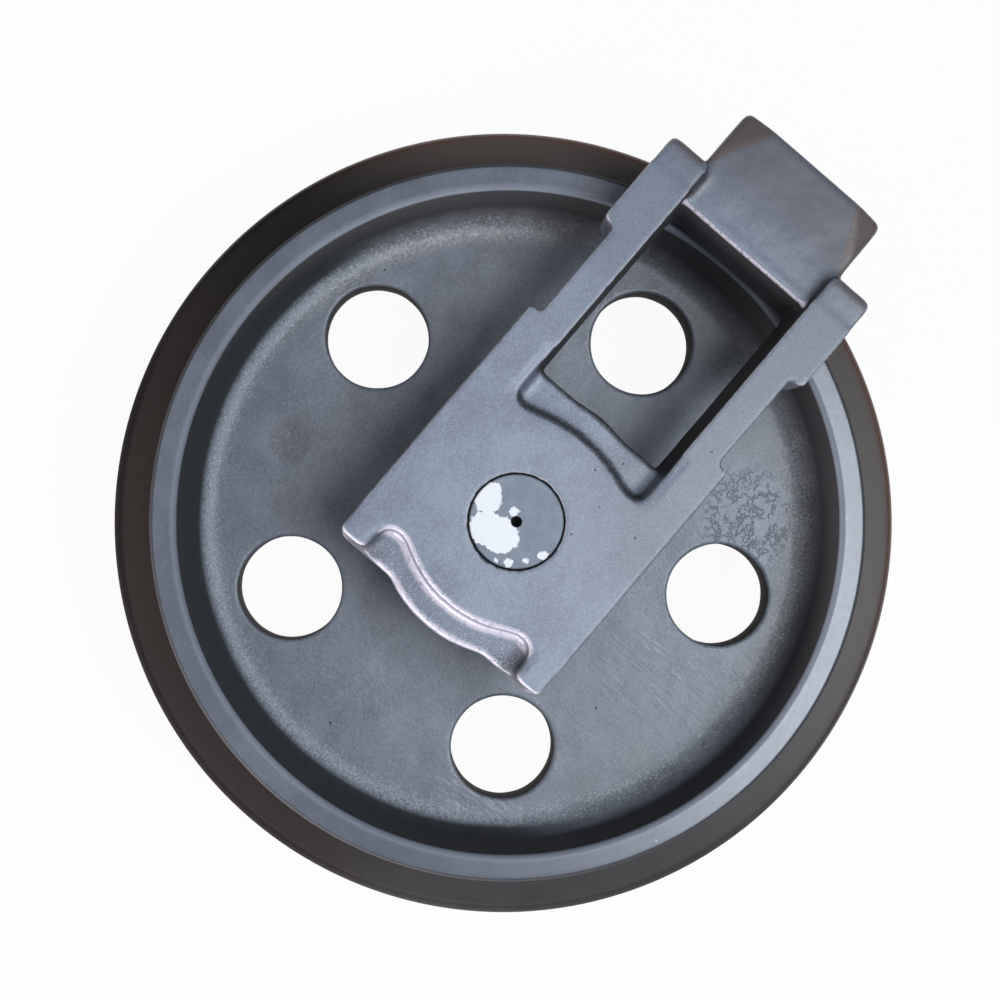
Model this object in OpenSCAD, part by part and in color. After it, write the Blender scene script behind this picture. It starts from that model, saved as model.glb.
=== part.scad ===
// Front idler of a crawler excavator, lying on its side as it is shipped.
// Origin on the axle at the middle of the wheel, +Z along the axle,
// +X along the fork towards the recoil spring. Millimetres.

/* [Wheel] */
// Diameter over the guide flange that runs between the track links
flange_d = 571; // [550:1:600]
// Diameter of the two treads that carry the track links
tread_d = 507; // [495:1:515]
// Width across the two rim faces
rim_w = 156; // [148:1:164]
// Inner diameter of the rim at its faces
rim_in_d = 470; // [455:1:478]
// Taper of the rim's inner wall between face and web, on the radius
rim_draft = 6; // [2:0.5:9]
// Width of the guide flange at its foot
flange_foot_w = 84; // [78:1:92]
// Width of the guide flange at its top
flange_top_w = 70; // [60:1:76]
// Rounding of the guide flange's top edges
flange_edge = 7; // [4:0.5:10]
// Fillet between the treads and the guide flange
flange_foot_r = 5; // [3:0.5:8]
// Rounding of the treads' outer edges
tread_edge = 3; // [1:0.5:4]
// Rounding of the rim's inner edges
rim_in_edge = 2.5; // [1:0.5:4]
// Thickness of the web
web_t = 30; // [24:1:36]
// Fillet between the web and the hub, and between the web and the rim
web_fillet = 18; // [12:1:20]
// Number of lightening holes in the web
web_hole_n = 5; // [3:1:6]
// Diameter of a lightening hole
web_hole_d = 76; // [60:1:84]
// Diameter of the circle through the hole centres
web_hole_pcd = 334; // [320:1:340]
// Angle from the fork to the first lightening hole
web_hole_turn = 3.4; // [0:0.1:20]
// Rounding of the lightening holes' edges
web_hole_edge = 2.5; // [1:0.5:4]
// Length of the hub along the axle
hub_w = 120; // [112:1:126]
// Wall of the hub outside the seal seat
hub_wall = 12; // [9:0.5:16]
// Taper of the hub between its end and the web, on the radius
hub_draft = 5; // [2:0.5:8]
// Rounding of the hub's ends
hub_edge = 4; // [2:0.5:5]

/* [Axle] */
// Diameter of the axle shaft
shaft_d = 65; // [60:1:70]
// How far the shaft's ends lie below the brackets' outer faces
shaft_inset = 0.5; // [0.2:0.1:3]
// Chamfer of the shaft's ends
shaft_chamfer = 1.5; // [1:0.5:3]
// Diameter of the lathe centre in the shaft's upper end
centre_d = 8; // [6:0.5:12]
// Diameter of the oil drillings
oil_d = 10; // [6:0.5:12]

/* [Bushes] */
// Wall of a bush
bush_wall = 5.5; // [4:0.5:7]
// Length of a bush inside the hub
bush_l = 32; // [28:1:36]
// Height of a bush's thrust flange outside the bush
bush_flange_h = 4; // [3:0.5:6]
// Thickness of a bush's thrust flange
bush_flange_t = 6; // [4:0.5:8]
// Depth of the oil chamber between the bushes
oil_chamber = 4; // [2:0.5:6]

/* [Face seals] */
// Length of a metal seal ring along the axle
seal_ring_l = 17; // [16:0.5:19]
// Wall of a seal ring at the foot of its ramp
seal_ring_wall = 6; // [5:0.5:8]
// Height of the lapped lip outside the ramp
seal_lip_h = 4.5; // [3:0.5:5.5]
// Thickness of the lapped lip
seal_lip_t = 4; // [3:0.5:5]
// Slope of the ramps that squeeze the toric rings
seal_slope = 12; // [8:1:15]
// Thickness of a rubber toric ring
toric_d = 7.2; // [6.6:0.1:8]
// Rounding of the lapped lip's edges
seal_lip_edge = 0.5; // [0.3:0.1:0.8]
// Width of the relief inside the lapped face
seal_relief_w = 1.5; // [1:0.1:2]
// Depth of that relief
seal_relief_h = 3; // [2:0.5:4]
// Distance from the lip to a toric ring
toric_inset = 1; // [0.5:0.1:2]
// Room behind a seal ring
seal_back_gap = 4; // [2:0.5:5]

/* [Bracket] */
// Width over the two brackets' outer faces
assembly_w = 272; // [264:1:284]
// Width of the window between the fork arms
fork_gap = 112; // [104:1:118]
// Width of a fork arm
arm_w = 23; // [20:0.5:28]
// Distance from the axle to the arms' ends
arm_end = 270; // [264:1:278]
// Height of the guide shoulders outside the arms
shoulder_h = 10; // [9.5:0.5:14]
// Length of the guide shoulders
shoulder_l = 76; // [64:1:84]
// How far the body stands out beside the arms
body_step = 9; // [7.5:0.5:12]
// Distance from the axle to the wide body's end on the fork side
body_nose = 118; // [108:1:128]
// Distance from the axle to the ledge's edge on the tail side
ledge_tail = 84; // [78:1:90]
// Distance from the axle to the ledge's edge on the fork side
ledge_nose = 91; // [85:1:94]
// Depth of the ledges below the outer face
ledge_drop = 18; // [14:1:22]
// Width of the tail horns
horn_w = 23; // [19:1:26]
// How far the horns end short of the tail ledge
horn_short = 3; // [2:0.5:6]
// Reach of the raised block from the axle along the fork
block_reach = 72.4; // [68:0.2:76]
// Radius of the raised block's bowed edge on the fork side
fork_bow_r = 110; // [90:1:120]
// Slope of that edge's ends
fork_bow_slope = 18; // [14:1:20]
// Radius of the raised block's bowed edge on the tail side
tail_bow_r = 85; // [75:1:92]
// Slope of that edge's ends
tail_bow_slope = 28; // [24:1:30]
// Corner radius of the tail pocket
tail_pocket_r = 11; // [8:1:13]
// Corner radius of the fork window
fork_corner_r = 9; // [6:0.5:11]
// Radius of the casting's outer corners
outer_corner_r = 5.5; // [4:0.5:8]
// Radius of the casting's inner corners
inner_corner_r = 3.5; // [2:0.5:4]
// Rounding of the arms' ends below the outer face
arm_end_edge = 5; // [3:0.5:7]
// Corner radius of the ledge on the tail side
ledge_corner_r = 8; // [5:0.5:12]
// Taper of the arms' inner walls
arm_draft = 4; // [2:0.5:6]
// Wall of the round boss outside the seal seat
boss_wall = 36; // [32:0.5:40]
// Taper of the round boss towards the wheel, on the radius
boss_draft = 9; // [4:0.5:12]
// Rounding of the round boss's edges
boss_edge = 4; // [2:0.5:6]
// How far the thrust nose ends inside the bush flange
nose_lip = 1; // [0.5:0.1:2]
// Rounding of machined edges
fine_edge = 0.8; // [0.5:0.1:1]

/* [Tongue] */
// Distance from the axle to the tongue's edge above the window
tongue_start = 240; // [234:1:245]
// Distance from the axle to the tongue's end face
tongue_end = 319; // [313:1:329]
// How far the tongue runs into each arm
tongue_lap = 5; // [3:0.5:10]
// Depth of the tongue's top below the arms
tongue_drop = 8; // [6:0.5:10]
// Slope of the tongue's wall above the window, on its length
tongue_draft = 8; // [4:0.5:11]
// Rounding of the tongue's top edges
tongue_edge = 2.5; // [1:0.5:4]
// Rounding of the tongue's lower edges
tongue_under_r = 5.5; // [3:0.5:8]
// Radius of the fillets between the tongue's top and the arms
tongue_fillet_r = 5.5; // [3:0.5:5.5]
// Radius of the tongue's upright corners
tongue_corner_r = 5; // [3:0.5:8]
// Length of the bevelled corners along the tongue
bevel_l = 36; // [28:1:40]
// Width of the bevelled corners across the tongue
bevel_w = 25; // [18:1:30]
// Depth of the bevels at the corners
bevel_h = 6; // [4:0.5:9]
// Distance between the two yoke bolts of one tongue
yoke_bolt_pitch = 70; // [60:1:76]
// Core diameter of the tapped yoke bolt holes
yoke_bolt_core = 17.5; // [14:0.1:19]
// Depth of the tapped yoke bolt holes
yoke_bolt_depth = 45; // [30:1:50]

/* [Lock pins] */
// Diameter of a lock pin
pin_d = 16; // [14:1:18]
// Length of a lock pin
pin_l = 168; // [150:1:172]
// Depth of the pin's notch in the shaft
pin_bite = 7; // [5:0.5:9]
// Distance from the bracket's outer face to the pin
pin_inset = 18; // [14:0.5:20]
// Chamfer of a lock pin's ends
pin_chamfer = 1.5; // [0.5:0.1:2.5]

/* [Axle O-rings] */
// Thickness of an O-ring on the axle
oring_d = 4; // [3:0.1:5]
// Distance from the bracket's outer face to the O-ring
oring_inset = 36; // [33:1:42]
// Extra width of the O-ring groove
oring_room = 1.4; // [0.6:0.1:2]

/* [Oil plug] */
// Diameter of the plug's shank
plug_d = 20; // [16:1:24]
// Length of the plug's shank
plug_l = 14; // [10:1:18]
// How far the plug's head stands out beside the shank
plug_head_lip = 4; // [3:0.5:5]
// Height of the plug's head
plug_head_h = 6; // [5:0.5:8]
// Width across flats of the plug's hexagon socket
plug_socket = 10; // [8:1:12]
// Thickness of the sealing washer under the plug's head
washer_t = 1.5; // [1:0.1:2.5]
// Depth of the plug's head below the shaft's end
plug_inset = 0.5; // [0.3:0.1:2]
// Gap round the plug's head in its seat
plug_head_gap = 1; // [0.5:0.1:2]
// Room past the plug's shank
plug_tail_room = 3; // [1:0.5:5]

/* [Clearances] */
// Radial running clearance between the shaft and the bushes
bush_clear = 0.05; // [0.02:0.01:0.09]
// Radial clearance of pieces that are pressed or pushed home
seat_clear = 0.02; // [0.01:0.01:0.05]
// End play between a bush flange and the bracket's thrust nose
end_play = 0.5; // [0.3:0.1:1]
// Gap between the hub's end and the bracket's boss
hub_gap = 3; // [2:0.5:4]
// Gap between the rim's face and the fork arms
arm_gap = 8; // [6:0.5:10]
// Oil film between the lapped seal faces
seal_film = 0.05; // [0.02:0.01:0.1]
// Gap between the seal rings and what turns inside them
seal_run_gap = 2; // [1.5:0.5:3]
// Gap between a rubber ring and its seats
rubber_clear = 0.05; // [0.02:0.01:0.1]

/* [Hidden] */
$fn = 96;
// Largest turn and largest length of one stretch of a rounded corner
arc_step = 12;
arc_l = 6;
// Overshoot of cutting tools
past = 2;

// Radii from the axle outwards
shaft_r = shaft_d / 2;
bush_r = shaft_r + bush_clear + bush_wall;
bush_flange_r = bush_r + bush_flange_h;
nose_r = bush_flange_r - nose_lip;
seal_in_r = bush_flange_r + seal_run_gap;
seal_ramp_r = seal_in_r + seal_ring_wall;
seal_lip_r = seal_ramp_r + seal_lip_h;
// Radial distance between a seal ring's ramp and its seat's ramp
ramp_step = (toric_d + 2 * rubber_clear) / cos(seal_slope);
seat_foot_r = seal_ramp_r + ramp_step;
hub_r = seat_foot_r + hub_wall;
boss_r = seat_foot_r + boss_wall;

// Heights along the axle, for the upper half
hub_z = hub_w / 2;
boss_z = hub_z + hub_gap;
seal_z = hub_z + hub_gap / 2;
seat_depth = seal_ring_l + seal_back_gap;
hub_floor_z = seal_z - seat_depth;
boss_floor_z = seal_z + seat_depth;
bush_end_z = hub_floor_z - bush_l;
nose_z = hub_floor_z + bush_flange_t + end_play;
face_z = assembly_w / 2;
shaft_z = face_z - shaft_inset;
ledge_z = face_z - ledge_drop;
slab_z = rim_w / 2 + arm_gap;
tongue_z = face_z - tongue_drop;
pin_z = face_z - pin_inset;
oring_z = face_z - oring_inset;

// Places across the bracket
fork_y = fork_gap / 2;
arm_y = fork_y + arm_w;
shoulder_y = arm_y + shoulder_h;
body_y = arm_y + body_step;
pocket_y = body_y - horn_w;
tongue_y = fork_y + tongue_lap;
pin_x = -(shaft_r + pin_d / 2 - pin_bite);
fork_apex = block_reach + fork_bow_r * (1 / cos(fork_bow_slope) - 1);
tail_apex = block_reach + tail_bow_r * (1 / cos(tail_bow_slope) - 1);

// Unit vector along v
function unit(v) = v / norm(v);

// Points of an arc of radius r that rounds the corner b between a and c
function corner_arc(a, b, c, r) =
    let (
        to_a = unit(a - b),
        to_c = unit(c - b),
        half = acos(to_a * to_c) / 2,
        centre = b + unit(to_a + to_c) * r / sin(half),
        start = b + to_a * r / tan(half) - centre,
        turn = (180 - 2 * half) * sign(cross(b - a, c - b)),
        steps = ceil(abs(turn) * max(1 / arc_step, r * PI / 180 / arc_l)),
        first = atan2(start.y, start.x)
    )
    [for (i = [0 : steps]) centre + r * [cos(first + turn * i / steps), sin(first + turn * i / steps)]];

// Outline through corners [x, y, radius]
function rounded(corners) =
    let (n = len(corners), at = [for (p = corners) [p.x, p.y]])
    [for (i = [0 : n - 1])
        each corners[i][2] == 0
            ? [at[i]]
            : corner_arc(at[(i + n - 1) % n], at[i], at[(i + 1) % n], corners[i][2])];

// Closed list from its half above the first axis, with its mirror image below
function mirrored(half) = concat(half, [for (i = [len(half) - 1 : -1 : 0]) [half[i].x, -half[i].y, half[i][2]]]);

// The same for a half whose first and last corners lie on the first axis
function mirrored_between(half) =
    concat(half, [for (i = [len(half) - 2 : -1 : 1]) [half[i].x, -half[i].y, half[i][2]]]);

// Radius of a seal ring's ramp at a distance from the lapped face
function ramp_r(depth) = seal_ramp_r - (depth - seal_lip_t) * tan(seal_slope);

// Radius of the seat's ramp at that distance
function seat_r(depth) = ramp_r(depth) + ramp_step;

// Round bar along Z with chamfered ends, centred on the origin
module chamfered_bar(d, l, chamfer) {
    rotate_extrude()
        polygon([
            [0, -l / 2], [d / 2 - chamfer, -l / 2], [d / 2, -l / 2 + chamfer],
            [d / 2, l / 2 - chamfer], [d / 2 - chamfer, l / 2], [0, l / 2]
        ]);
}

// Ring of round section
module round_ring(mean_r, d) {
    rotate_extrude()
        translate([mean_r, 0])
            circle(d = d);
}

// Section of the wheel above the mid-plane, from the bore outwards
wheel_half = [
    [bush_r + seat_clear + oil_chamber, bush_end_z, 0],
    [bush_r + seat_clear, bush_end_z, 0],
    [bush_r + seat_clear, hub_floor_z, 0],
    [seat_r(seat_depth), hub_floor_z, fine_edge],
    [seat_r(hub_gap / 2), hub_z, fine_edge],
    [hub_r, hub_z, hub_edge],
    [hub_r + hub_draft, web_t / 2, web_fillet],
    [rim_in_d / 2 - rim_draft, web_t / 2, web_fillet],
    [rim_in_d / 2, rim_w / 2, rim_in_edge],
    [tread_d / 2, rim_w / 2, tread_edge],
    [tread_d / 2, flange_foot_w / 2, flange_foot_r],
    [flange_d / 2, flange_top_w / 2, flange_edge]
];

module web_hole() {
    rotate_extrude()
        polygon(rounded(mirrored([
            [0, web_t / 2 + past, 0],
            [web_hole_d / 2 + web_hole_edge + past, web_t / 2 + past, 0],
            [web_hole_d / 2, web_t / 2 - web_hole_edge, 0]
        ])));
}

module idler_wheel() {
    color("#53575e")
        difference() {
            rotate_extrude()
                polygon(rounded(mirrored(wheel_half)));
            for (i = [0 : web_hole_n - 1])
                rotate(web_hole_turn + i * 360 / web_hole_n)
                    translate([web_hole_pcd / 2, 0])
                        web_hole();
        }
}

// Section of the shaft above the mid-plane, with its O-ring groove
groove_r = shaft_r + seat_clear - oring_d;
groove_half = (oring_d + oring_room) / 2;
shaft_half = [
    [shaft_r, oring_z - groove_half, 0],
    [groove_r, oring_z - groove_half, 0],
    [groove_r, oring_z + groove_half, 0],
    [shaft_r, oring_z + groove_half, 0],
    [shaft_r, shaft_z - shaft_chamfer, 0],
    [shaft_r - shaft_chamfer, shaft_z, 0],
    [0, shaft_z, 0]
];

// Cutter for both lock pins' seats
module pin_hole(z) {
    translate([pin_x, 0, z])
        rotate([90, 0, 0])
            cylinder(d = pin_d + 2 * seat_clear, h = 2 * (body_y + past), center = true);
}

// Cutter for the plug's seat, its thread and the drilling that feeds the bushes
plug_seat_depth = plug_inset + plug_head_h + washer_t;
module oil_way() {
    translate([0, 0, -shaft_z]) {
        translate([0, 0, -past])
            cylinder(r = plug_d / 2 + plug_head_lip + plug_head_gap, h = plug_seat_depth + past);
        cylinder(d = plug_d + 2 * seat_clear, h = plug_seat_depth + plug_l + plug_tail_room);
        cylinder(d = oil_d, h = shaft_z + oil_d);
    }
    rotate([0, 90, 0])
        cylinder(d = oil_d, h = shaft_d + 2 * past, center = true);
}

module axle_shaft() {
    color("#5c6166")
        difference() {
            rotate_extrude()
                polygon(rounded(mirrored(shaft_half)));
            pin_hole(pin_z);
            pin_hole(-pin_z);
            oil_way();
            translate([0, 0, shaft_z - centre_d])
                cylinder(d1 = 0, d2 = centre_d + past, h = centre_d + past);
        }
}

// Outline of the raised block, the horns and the fork arms
block_outline = mirrored_between([
    [-tail_apex, 0, tail_bow_r],
    [-(tail_apex - pocket_y * tan(tail_bow_slope)), pocket_y, tail_pocket_r],
    [-(ledge_tail - horn_short), pocket_y, inner_corner_r],
    [-(ledge_tail - horn_short), body_y, outer_corner_r],
    [body_nose, body_y, inner_corner_r],
    [body_nose, arm_y, inner_corner_r],
    [arm_end - shoulder_l, arm_y, inner_corner_r],
    [arm_end - shoulder_l, shoulder_y, outer_corner_r],
    [arm_end, shoulder_y, outer_corner_r],
    [arm_end, fork_y, outer_corner_r],
    [fork_apex - fork_y * tan(fork_bow_slope), fork_y, fork_corner_r],
    [fork_apex, 0, fork_bow_r]
]);

// Raised block with its horns and arms, their ends rounded over
module block() {
    intersection() {
        translate([0, 0, slab_z])
            linear_extrude(face_z - slab_z + past)
                polygon(rounded(block_outline));
        rotate([90, 0, 0])
            linear_extrude(2 * (shoulder_y + past), center = true)
                polygon(rounded([
                    [-ledge_tail, slab_z - past, 0],
                    [arm_end, slab_z - past, 0],
                    [arm_end, face_z, arm_end_edge],
                    [-ledge_tail, face_z, 0]
                ]));
    }
}

// Plate under the raised block, whose edges show as ledges
module ledge_plate() {
    translate([0, 0, slab_z])
        linear_extrude(ledge_z - slab_z)
            polygon(rounded([
                [-ledge_tail, -body_y, ledge_corner_r],
                [-ledge_tail, body_y, ledge_corner_r],
                [ledge_nose, body_y, 0],
                [ledge_nose, -body_y, 0]
            ]));
}

// Wedges that taper the arms' inner walls
module arm_wedges() {
    for (side = [-1, 1])
        on_side(side)
            rotate([90, 0, 90])
                linear_extrude(tongue_start)
                    polygon([
                        [fork_y + past, face_z],
                        [fork_y, face_z],
                        [fork_y - arm_draft, slab_z],
                        [fork_y + past, slab_z]
                    ]);
}

// Mirrors children across the fork's middle plane for the side -1
module on_side(side) {
    mirror([0, side < 0 ? 1 : 0, 0])
        children();
}

// Half space above the plane that bevels the tongue's outer corner on the +Y side
bevel_normal = [1 / bevel_l, 1 / bevel_w, 1 / bevel_h];
module corner_bevel() {
    translate([tongue_end - bevel_l, tongue_y, tongue_z])
        rotate([0, acos(bevel_normal.z / norm(bevel_normal)), atan2(bevel_normal.y, bevel_normal.x)])
            translate([-bevel_l * 2, -bevel_l * 2, 0])
                cube([bevel_l * 4, bevel_l * 4, bevel_l]);
}

// Cross block between the arms' ends that the yoke bolts to
module tongue() {
    difference() {
        intersection() {
            rotate([90, 0, 0])
                linear_extrude(2 * tongue_y, center = true)
                    polygon(rounded([
                        [tongue_start, tongue_z, tongue_edge],
                        [tongue_end, tongue_z, tongue_edge],
                        [tongue_end, slab_z, tongue_under_r],
                        [tongue_start - tongue_draft, slab_z, tongue_under_r]
                    ]));
            linear_extrude(face_z)
                polygon(rounded(mirrored([[0, tongue_y, 0], [tongue_end, tongue_y, tongue_corner_r]])));
        }
        for (side = [-1, 1])
            on_side(side)
                corner_bevel();
        yoke_bolt_holes();
    }
}

// Fillets between the tongue's top and the arms
module tongue_fillets() {
    for (side = [-1, 1])
        on_side(side)
            translate([tongue_start + tongue_edge, 0, 0])
                rotate([90, 0, 90])
                    linear_extrude(arm_end - arm_end_edge - tongue_start - tongue_edge)
                        polygon(concat(
                            corner_arc([0, tongue_z], [fork_y, tongue_z], [fork_y, face_z], tongue_fillet_r),
                            [
                                [fork_y + past, tongue_z + tongue_fillet_r],
                                [fork_y + past, tongue_z - past],
                                [fork_y - tongue_fillet_r, tongue_z - past]
                            ]
                        ));
}

// Tapped holes for the yoke bolts in the tongue's end face
module yoke_bolt_holes() {
    for (side = [-1, 1])
        translate([tongue_end, side * yoke_bolt_pitch / 2, (slab_z + tongue_z) / 2])
            rotate([0, -90, 0])
                translate([0, 0, -past])
                    cylinder(d = yoke_bolt_core, h = yoke_bolt_depth + past);
}

// Round boss with the thrust nose and the seat of the bracket's seal ring
boss_section = [
    [shaft_r + seat_clear, nose_z, fine_edge],
    [nose_r, nose_z, fine_edge],
    [nose_r, boss_floor_z, fine_edge],
    [seat_r(seat_depth), boss_floor_z, fine_edge],
    [seat_r(hub_gap / 2), boss_z, fine_edge],
    [boss_r - boss_draft, boss_z, boss_edge],
    [boss_r, slab_z, 0],
    [boss_r, ledge_z, boss_edge],
    [shaft_r + seat_clear, ledge_z, 0]
];

module bracket() {
    difference() {
        union() {
            difference() {
                union() {
                    block();
                    ledge_plate();
                    arm_wedges();
                    tongue();
                    tongue_fillets();
                    translate([0, 0, slab_z])
                        cylinder(r = boss_r - boss_draft, h = ledge_z - slab_z);
                }
                // Room for the seal seat and the nose
                cylinder(r = seat_r(0), h = boss_floor_z);
            }
            intersection() {
                rotate_extrude()
                    polygon(rounded(boss_section));
                cube([4 * boss_r, 2 * body_y, 2 * face_z], center = true);
            }
        }
        cylinder(r = shaft_r + seat_clear, h = face_z + past);
        pin_hole(pin_z);
    }
}

module bracket_upper() {
    color("#6f757e")
        bracket();
}

module bracket_lower() {
    color("#6f757e")
        rotate([180, 0, 0])
            bracket();
}

// Flanged bush in the hub's upper end
module bush() {
    rotate_extrude()
        polygon(rounded([
            [shaft_r + bush_clear, bush_end_z, fine_edge],
            [bush_r, bush_end_z, fine_edge],
            [bush_r, hub_floor_z, 0],
            [bush_flange_r, hub_floor_z, 0],
            [bush_flange_r, hub_floor_z + bush_flange_t, fine_edge],
            [shaft_r + bush_clear, hub_floor_z + bush_flange_t, fine_edge]
        ]));
}

module bush_upper() {
    color("#b08d57")
        bush();
}

module bush_lower() {
    color("#b08d57")
        mirror([0, 0, 1])
            bush();
}

// Metal seal ring, with its lapped face towards -Z at the origin
module seal_ring() {
    rotate_extrude()
        polygon(rounded([
            [seal_in_r + seal_relief_w, seal_film / 2, 0],
            [seal_lip_r, seal_film / 2, seal_lip_edge],
            [seal_lip_r, seal_lip_t, seal_lip_edge],
            [ramp_r(seal_lip_t), seal_lip_t, fine_edge],
            [ramp_r(seal_ring_l), seal_ring_l, fine_edge],
            [seal_in_r, seal_ring_l, fine_edge],
            [seal_in_r, seal_film / 2 + seal_relief_h, 0]
        ]));
}

// Rubber ring on the seal ring's ramp
module toric_ring() {
    toric_z = seal_lip_t + toric_inset + toric_d / 2;
    translate([0, 0, toric_z])
        round_ring(ramp_r(toric_z) + ramp_step / 2, toric_d);
}

// Places children that point up from the seal's plane: hub side or bracket side, upper or lower
module at_seal(hub_side, lower) {
    mirror([0, 0, lower ? 1 : 0])
        translate([0, 0, seal_z])
            mirror([0, 0, hub_side ? 1 : 0])
                children();
}

module hub_seal_ring_upper() {
    color("#9aa0a6")
        at_seal(true, false)
            seal_ring();
}

module hub_seal_ring_lower() {
    color("#9aa0a6")
        at_seal(true, true)
            seal_ring();
}

module bracket_seal_ring_upper() {
    color("#9aa0a6")
        at_seal(false, false)
            seal_ring();
}

module bracket_seal_ring_lower() {
    color("#9aa0a6")
        at_seal(false, true)
            seal_ring();
}

module hub_toric_ring_upper() {
    color("#1d1d1f")
        at_seal(true, false)
            toric_ring();
}

module hub_toric_ring_lower() {
    color("#1d1d1f")
        at_seal(true, true)
            toric_ring();
}

module bracket_toric_ring_upper() {
    color("#1d1d1f")
        at_seal(false, false)
            toric_ring();
}

module bracket_toric_ring_lower() {
    color("#1d1d1f")
        at_seal(false, true)
            toric_ring();
}

// O-ring in the shaft's groove
module axle_o_ring() {
    translate([0, 0, oring_z])
        round_ring((groove_r + shaft_r + seat_clear) / 2, oring_d - 2 * rubber_clear);
}

module axle_o_ring_upper() {
    color("#1d1d1f")
        axle_o_ring();
}

module axle_o_ring_lower() {
    color("#1d1d1f")
        mirror([0, 0, 1])
            axle_o_ring();
}

// Pin across the bracket that locks it to the notch in the shaft
module lock_pin() {
    translate([pin_x, 0, pin_z])
        rotate([90, 0, 0])
            chamfered_bar(pin_d, pin_l, pin_chamfer);
}

module lock_pin_upper() {
    color("#8a8d90")
        lock_pin();
}

module lock_pin_lower() {
    color("#8a8d90")
        mirror([0, 0, 1])
            lock_pin();
}

// Socket plug in the shaft's lower end
module oil_plug() {
    color("#8a8d90")
        translate([0, 0, -shaft_z + plug_inset])
            difference() {
                union() {
                    cylinder(r = plug_d / 2 + plug_head_lip, h = plug_head_h);
                    cylinder(d = plug_d, h = plug_head_h + washer_t + plug_l);
                }
                translate([0, 0, -past])
                    cylinder(d = plug_socket / cos(30), h = plug_head_h + past, $fn = 6);
            }
}

module oil_plug_washer() {
    color("#a4673f")
        translate([0, 0, -shaft_z + plug_inset + plug_head_h])
            difference() {
                cylinder(r = plug_d / 2 + plug_head_lip, h = washer_t);
                translate([0, 0, -past])
                    cylinder(d = plug_d + 2 * seat_clear, h = washer_t + 2 * past);
            }
}

idler_wheel();
axle_shaft();
bracket_upper();
bracket_lower();
bush_upper();
bush_lower();
hub_seal_ring_upper();
hub_seal_ring_lower();
bracket_seal_ring_upper();
bracket_seal_ring_lower();
hub_toric_ring_upper();
hub_toric_ring_lower();
bracket_toric_ring_upper();
bracket_toric_ring_lower();
axle_o_ring_upper();
axle_o_ring_lower();
lock_pin_upper();
lock_pin_lower();
oil_plug();
oil_plug_washer();
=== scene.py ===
"""Looks of an excavator front idler that lies on its side, with its fork towards +X.

Metres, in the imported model's frame: the axle runs along Z through the middle of the wheel.
"""

import math
from types import SimpleNamespace

import bpy
from mathutils import Matrix, Vector


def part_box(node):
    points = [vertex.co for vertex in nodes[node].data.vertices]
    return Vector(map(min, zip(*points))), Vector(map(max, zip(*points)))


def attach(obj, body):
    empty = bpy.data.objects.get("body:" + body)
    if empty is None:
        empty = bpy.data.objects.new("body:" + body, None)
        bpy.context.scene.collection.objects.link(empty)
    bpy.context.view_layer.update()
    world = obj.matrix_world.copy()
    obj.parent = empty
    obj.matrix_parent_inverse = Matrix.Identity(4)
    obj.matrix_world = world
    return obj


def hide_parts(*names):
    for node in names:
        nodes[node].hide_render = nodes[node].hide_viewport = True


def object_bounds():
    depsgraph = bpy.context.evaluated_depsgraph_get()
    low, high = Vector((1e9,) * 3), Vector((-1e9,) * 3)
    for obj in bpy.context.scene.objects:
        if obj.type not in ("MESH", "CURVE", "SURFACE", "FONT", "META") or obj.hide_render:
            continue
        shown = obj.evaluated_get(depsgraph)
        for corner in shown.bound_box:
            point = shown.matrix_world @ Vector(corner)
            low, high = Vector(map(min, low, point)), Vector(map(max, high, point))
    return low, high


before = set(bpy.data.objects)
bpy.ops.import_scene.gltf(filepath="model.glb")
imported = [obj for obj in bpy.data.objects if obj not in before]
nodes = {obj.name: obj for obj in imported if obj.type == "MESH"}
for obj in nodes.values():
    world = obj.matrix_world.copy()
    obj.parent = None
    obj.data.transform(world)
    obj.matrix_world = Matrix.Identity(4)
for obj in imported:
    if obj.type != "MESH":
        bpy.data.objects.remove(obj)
cad_low, cad_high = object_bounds()

MM = 0.001
MERGE_GAP = 0.01 * MM
SIDES = ("upper", "lower")

# Wheel sizes
RIM_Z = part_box("idler_wheel")[1].z
FLANGE_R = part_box("idler_wheel")[1].x
TREAD_R = 253.5 * MM
RIM_IN_R = 235 * MM
WEB_Z = 15 * MM
WEB_FILLET = 18 * MM
HUB_R = 74.5 * MM
HOLE_N = 5
HOLE_R = 38 * MM
HOLE_PITCH_R = 167 * MM
HOLE_TURN = math.radians(3.4)
HOLE_LIP = 2.5 * MM
HOLE_STEPS = 96
CUTTER_PAST = 6 * MM
WHEEL_STEPS = 240
WHEEL_SPACING = 3.2 * MM
WEB_WAVE = 34 * MM
WEB_WAVE_DEPTH = 1.1 * MM

# Marks on the web's upper face: their middles, in millimetres
ROUND_MARK = (-58, 161, 15)
FORGING_MARKS = (40, -160, 15)
FORGING_LAPS = (120, -136, 15)
CHATTER_MARKS = (-166, -114, 15)

# The round mark's size, and the angle that the forging marks run at
ROUND_MARK_R = 24 * MM
ROUND_MARK_DEPTH = 0.7 * MM
FORGING_TURN = math.radians(-15)

# Directions from the axle: the web's shaded side and the side of the rim with painted shade
SHADY_SIDE = (-0.649, 0.760, 0)
SHADED_RIM_SIDE = (-0.760, -0.649, 0)

# Bracket sizes
FACE_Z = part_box("bracket_upper")[1].z
SHAFT_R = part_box("axle_shaft")[1].x
LEDGE_Z = FACE_Z - 18 * MM
TONGUE_X = 240 * MM
TONGUE_Y = 61 * MM
CASTING_VOXEL = 1.7 * MM
CASTING_WAVE = 22 * MM
CASTING_WAVE_DEPTH = 0.6 * MM

# Rounds of smoothing: the whole bracket, its cast surfaces and its pockets
SMOOTH_ALL = 4
SMOOTH_CAST = 13
SMOOTH_POCKET = 34
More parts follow.
